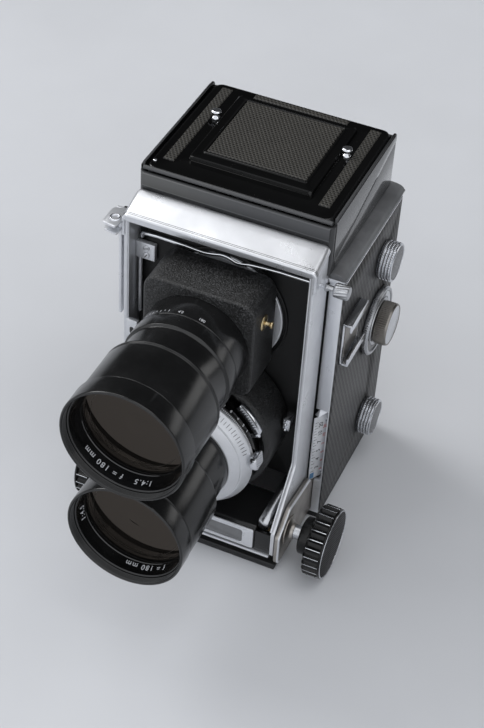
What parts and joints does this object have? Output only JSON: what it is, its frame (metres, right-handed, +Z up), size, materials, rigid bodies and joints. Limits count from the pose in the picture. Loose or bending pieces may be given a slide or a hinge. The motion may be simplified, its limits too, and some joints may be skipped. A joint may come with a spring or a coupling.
{
  "type": "twin lens reflex camera",
  "caption": "Medium format twin lens reflex camera with a folding waist level finder, bellows focusing on racks, paired long lenses and a hinged back.",
  "frame": {"origin": "centre of the tripod socket's mouth, on the base plane", "axes": "+Z up, the lenses look towards -Y, +X is the user's left side"},
  "size_m": [0.122, 0.1644, 0.1604],
  "materials": {
    "satin_silver": "satin silver lacquer over cast aluminium",
    "dark_satin": "dark grey satin",
    "black_paint": "matt black",
    "black_lacquer": "gloss black lacquer",
    "crinkle_paint": "dark grey crinkle paint",
    "barrel_black": "satin black anodised",
    "gunmetal": "dull grey plated, milled",
    "steel": "bright steel",
    "blade_steel": "blackened spring steel",
    "chrome": "satin to bright chrome",
    "brass": "machined",
    "black_knob": "black moulding with bright edges",
    "spool_plastic": "moulded",
    "white_enamel": "white enamel with black and red graduations",
    "ribbed_leather": "dark grey leatherette with a fine diagonal rib",
    "woven_leather": "olive grey woven-pattern leatherette",
    "bellows_leather": "black folded leather",
    "mirror": "front silvered",
    "screen_glass": "ground glass",
    "lens_glass": "coated optical glass"
  },
  "bodies": {
    "body": {"body_shell": "satin_silver", "top_plate": "dark_satin", "base_plate": "black_paint", "tripod_bush": "steel", "side_covering": "ribbed_leather", "focus_cheeks": "satin_silver", "distance_scale": "white_enamel", "scale_screws": "steel", "accessory_shoe": "chrome", "reflex_mirror": "mirror", "focusing_screen": "screen_glass", "film_gate": "black_paint", "bellows": "bellows_leather", "finder_base": "black_lacquer"},
    "front": {"standard_frame": "satin_silver", "front_panel": "black_paint", "name_hood": "satin_silver", "foot_cover": "black_lacquer", "foot_nameplate": "satin_silver", "focus_racks": "brass", "bail_clamp": "steel", "lens_board": "black_paint", "view_housing": "crinkle_paint", "view_barrel": "barrel_black", "view_glass": "lens_glass", "shutter_housing": "crinkle_paint", "take_barrel": "barrel_black", "take_glass": "lens_glass", "shutter_blades": "blade_steel", "sync_terminal": "chrome"},
    "focus_drive": {"focus_shaft": "steel", "pinions": "brass", "focus_knobs": "black_knob", "knob_collars": "black_knob"},
    "upper_knob": {"upper_spool_knob": "chrome"},
    "lower_knob": {"lower_spool_knob": "chrome"},
    "lock_dial": {"lock_dial": "gunmetal"},
    "lock_knob": {"lock_knob": "gunmetal"},
    "crank": {"wind_crank": "chrome"},
    "handle": {"crank_handle": "black_knob"},
    "take_up": {"take_up_spool": "spool_plastic"},
    "supply": {"supply_spool": "spool_plastic"},
    "door": {"back_door": "satin_silver", "door_covering": "ribbed_leather", "pressure_plate": "black_paint"},
    "latch": {"door_latch": "chrome"},
    "lid": {"finder_lid": "black_lacquer", "lid_covering": "woven_leather", "lid_studs": "chrome"},
    "left_wing": {"left_wing": "black_paint"},
    "right_wing": {"right_wing": "black_paint"},
    "back_wing": {"back_wing": "black_paint"},
    "magnifier": {"magnifier_frame": "black_paint", "magnifier_lens": "lens_glass"},
    "release": {"release_lever": "chrome"},
    "bail": {"bail_wire": "steel", "bail_knob": "steel"},
    "aperture": {"aperture_ring": "chrome"},
    "speed": {"speed_ring": "barrel_black"},
    "cocking": {"cocking_lever": "chrome"}
  },
  "joints": [
    {"name": "focus_slide", "type": "slide", "parent": "body", "child": "front", "axis": [0, -1, 0], "range_m": [0, 0.05]},
    {"name": "focus_knob_turn", "type": "hinge", "parent": "body", "child": "focus_drive", "pos_m": [0, -0.058, 0.0157], "axis": [1, 0, 0], "range_deg": [-10, 600]},
    {"name": "upper_knob_pull", "type": "slide", "parent": "body", "child": "upper_knob", "axis": [1, 0, 0], "range_m": [0, 0.0045]},
    {"name": "lower_knob_pull", "type": "slide", "parent": "body", "child": "lower_knob", "axis": [1, 0, 0], "range_m": [0, 0.0045]},
    {"name": "lock_dial_turn", "type": "hinge", "parent": "body", "child": "lock_dial", "pos_m": [0.045, 0.012, 0.0776], "axis": [1, 0, 0], "range_deg": [0, 60]},
    {"name": "lock_knob_turn", "type": "hinge", "parent": "body", "child": "lock_knob", "pos_m": [0.045, 0.012, 0.0776], "axis": [1, 0, 0], "range_deg": [0, 180]},
    {"name": "wind_crank_turn", "type": "hinge", "parent": "body", "child": "crank", "pos_m": [-0.045, 0.013, 0.109], "axis": [1, 0, 0], "continuous": true},
    {"name": "crank_handle_spin", "type": "hinge", "parent": "crank", "child": "handle", "pos_m": [-0.05, -0.009, 0.109], "axis": [1, 0, 0], "continuous": true},
    {"name": "take_up_spool_turn", "type": "hinge", "parent": "body", "child": "take_up", "pos_m": [0, 0.013, 0.109], "axis": [1, 0, 0], "continuous": true},
    {"name": "supply_spool_turn", "type": "hinge", "parent": "body", "child": "supply", "pos_m": [0, 0.013, 0.0228], "axis": [1, 0, 0], "continuous": true},
    {"name": "back_door_swing", "type": "hinge", "parent": "body", "child": "door", "pos_m": [0, 0.0322, 0.0046], "axis": [-1, 0, 0], "range_deg": [0, 90]},
    {"name": "door_latch_slide", "type": "slide", "parent": "door", "child": "latch", "axis": [0, 0, 1], "range_m": [0, 0.003]},
    {"name": "finder_lid_swing", "type": "hinge", "parent": "body", "child": "lid", "pos_m": [0, -0.0346, 0.1561], "axis": [1, 0, 0], "range_deg": [0, 90]},
    {"name": "left_wing_fold", "type": "hinge", "parent": "body", "child": "left_wing", "pos_m": [0.0372, 0, 0.152], "axis": [0, 1, 0], "range_deg": [0, 90]},
    {"name": "right_wing_fold", "type": "hinge", "parent": "body", "child": "right_wing", "pos_m": [-0.0372, 0, 0.152], "axis": [0, -1, 0], "range_deg": [0, 90]},
    {"name": "back_wing_fold", "type": "hinge", "parent": "body", "child": "back_wing", "pos_m": [0, 0.0296, 0.1498], "axis": [-1, 0, 0], "range_deg": [0, 90]},
    {"name": "magnifier_fold", "type": "hinge", "parent": "lid", "child": "magnifier", "pos_m": [0, 0.0054, 0.1543], "axis": [-1, 0, 0], "range_deg": [0, 90]},
    {"name": "shutter_release_press", "type": "slide", "parent": "front", "child": "release", "axis": [0, 0, -1], "range_m": [0, 0.004]},
    {"name": "bail_turn", "type": "hinge", "parent": "front", "child": "bail", "pos_m": [0, -0.0422, 0.1328], "axis": [-1, 0, 0], "range_deg": [0, 90]},
    {"name": "aperture_turn", "type": "hinge", "parent": "front", "child": "aperture", "pos_m": [0, -0.075, 0.0576], "axis": [0, 1, 0], "range_deg": [-10, 60]},
    {"name": "speed_turn", "type": "hinge", "parent": "front", "child": "speed", "pos_m": [0, -0.066, 0.0576], "axis": [0, 1, 0], "range_deg": [-60, 60]},
    {"name": "cocking_lever_swing", "type": "hinge", "parent": "front", "child": "cocking", "pos_m": [0, -0.064, 0.0576], "axis": [0, 1, 0], "range_deg": [0, 40]}
  ],
  "couplings": [
    {"joint": "focus_knob_turn", "follows": "focus_slide", "rad_per_m": 200},
    {"joint": "take_up_spool_turn", "follows": "wind_crank_turn", "ratio": 1},
    {"joint": "left_wing_fold", "follows": "finder_lid_swing", "ratio": 1},
    {"joint": "right_wing_fold", "follows": "finder_lid_swing", "ratio": 1},
    {"joint": "back_wing_fold", "follows": "finder_lid_swing", "ratio": 1},
    {"joint": "magnifier_fold", "follows": "finder_lid_swing", "ratio": 1}
  ]
}
